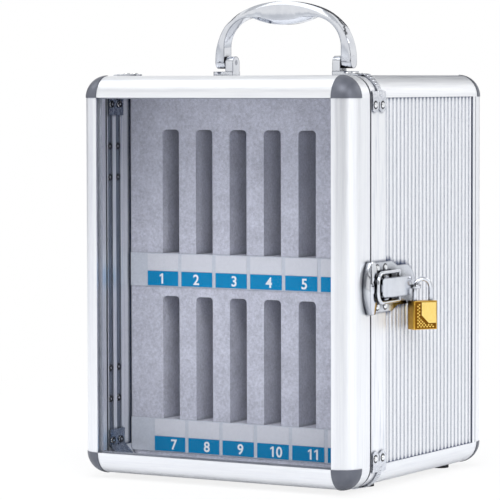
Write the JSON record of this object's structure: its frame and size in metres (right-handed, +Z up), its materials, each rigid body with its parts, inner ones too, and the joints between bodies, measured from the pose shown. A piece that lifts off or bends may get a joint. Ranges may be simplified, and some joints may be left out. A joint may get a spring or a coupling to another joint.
{
  "type": "cell phone locker box",
  "caption": "Tabletop aluminium case with a hinged window door, a rack of numbered upright slots, a folding carrying handle and an over-centre side latch with a padlock.",
  "frame": {"origin": "centre of the whole object's outline seen from above, at the level its feet stand on", "axes": "+Z up, -Y out of the window door, +X towards the side with the latch"},
  "size_m": [0.2455, 0.2068, 0.3384],
  "materials": {
    "frame_aluminium": "satin anodised extrusion",
    "panel": "silver ribbed laminate",
    "corner_cap": "grey moulded cap",
    "pressed_steel": "zinc plated sheet",
    "rivet_steel": "bright plated",
    "bright_plate": "chrome plated",
    "lock_brass": "brushed brass",
    "seal_rubber": "matt black",
    "window_glass": "clear acrylic pane",
    "rack_felt": "grey felt over board",
    "label_print": "printed strip"
  },
  "bodies": {
    "case": {"ring_left_post": "frame_aluminium", "ring_right_post": "frame_aluminium", "ring_top_bar": "frame_aluminium", "ring_bottom_bar": "frame_aluminium", "top_left_rail": "frame_aluminium", "top_right_rail": "frame_aluminium", "bottom_left_rail": "frame_aluminium", "bottom_right_rail": "frame_aluminium", "rear_left_post": "frame_aluminium", "rear_right_post": "frame_aluminium", "rear_top_rail": "frame_aluminium", "rear_bottom_rail": "frame_aluminium", "rear_corner_caps": "corner_cap", "left_panel": "panel", "right_panel": "panel", "top_panel": "panel", "bottom_panel": "panel", "rear_panel": "panel", "corner_clamps": "pressed_steel", "clamp_rivets": "rivet_steel", "inner_corner_braces": "pressed_steel", "door_seal": "seal_rubber", "feet": "seal_rubber", "foot_screws": "rivet_steel", "hinge_body_leaves": "pressed_steel", "hinge_pins": "rivet_steel", "hinge_body_rivets": "rivet_steel", "latch_base": "bright_plate", "latch_rivets": "rivet_steel", "lever_pins": "rivet_steel", "left_bracket": "bright_plate", "right_bracket": "bright_plate", "bracket_screws": "rivet_steel", "handle_pins": "rivet_steel", "rack_skin": "rack_felt", "rack_top_block": "rack_felt", "rack_shelf": "rack_felt", "rack_base_block": "rack_felt", "upper_dividers": "rack_felt", "lower_dividers": "rack_felt", "rack_back_board": "rack_felt", "label_strips": "label_print"},
    "door": {"door_left_stile": "frame_aluminium", "door_right_stile": "frame_aluminium", "door_top_rail": "frame_aluminium", "door_bottom_rail": "frame_aluminium", "door_corner_sleeves": "frame_aluminium", "door_corner_caps": "corner_cap", "window_pane": "window_glass", "window_gasket": "seal_rubber", "hinge_door_leaves": "pressed_steel", "hinge_door_rivets": "rivet_steel", "keeper": "bright_plate"},
    "handle": {"handle_grip": "bright_plate"},
    "lever": {"latch_lever": "bright_plate"},
    "bail": {"latch_bail": "bright_plate"},
    "padlock": {"padlock_body": "lock_brass"},
    "shackle": {"padlock_shackle": "bright_plate"},
    "plug": {"padlock_plug": "lock_brass"}
  },
  "joints": [
    {"name": "door_hinge", "type": "hinge", "parent": "case", "child": "door", "pos_m": [-0.12079, -0.075, 0.1442], "axis": [0, 0, -1], "range_deg": [0, 165]},
    {"name": "handle_pivot", "type": "hinge", "parent": "case", "child": "handle", "pos_m": [-0.00849, 0, 0.2947], "axis": [1, 0, 0], "range_deg": [-85, 85]},
    {"name": "lever_pivot", "type": "hinge", "parent": "case", "child": "lever", "pos_m": [0.10911, -0.0685, 0.1409], "axis": [0, 0, -1], "range_deg": [0, 130]},
    {"name": "bail_pivot", "type": "hinge", "parent": "lever", "child": "bail", "pos_m": [0.10751, -0.045, 0.1409], "axis": [0, 0, 1], "range_deg": [0, 130]},
    {"name": "padlock_swing", "type": "hinge", "parent": "case", "child": "padlock", "pos_m": [0.11011, -0.027, 0.1289], "axis": [0, 0, -1], "range_deg": [0, 75]},
    {"name": "shackle_slide", "type": "slide", "parent": "padlock", "child": "shackle", "axis": [0, 0, 1], "range_m": [0, 0.008]},
    {"name": "plug_turn", "type": "hinge", "parent": "padlock", "child": "plug", "pos_m": [0.1137, -0.02201, 0.1109], "axis": [0, 0, 1], "range_deg": [0, 90]}
  ],
  "couplings": [
    {"joint": "bail_pivot", "follows": "lever_pivot", "ratio": 1}
  ]
}
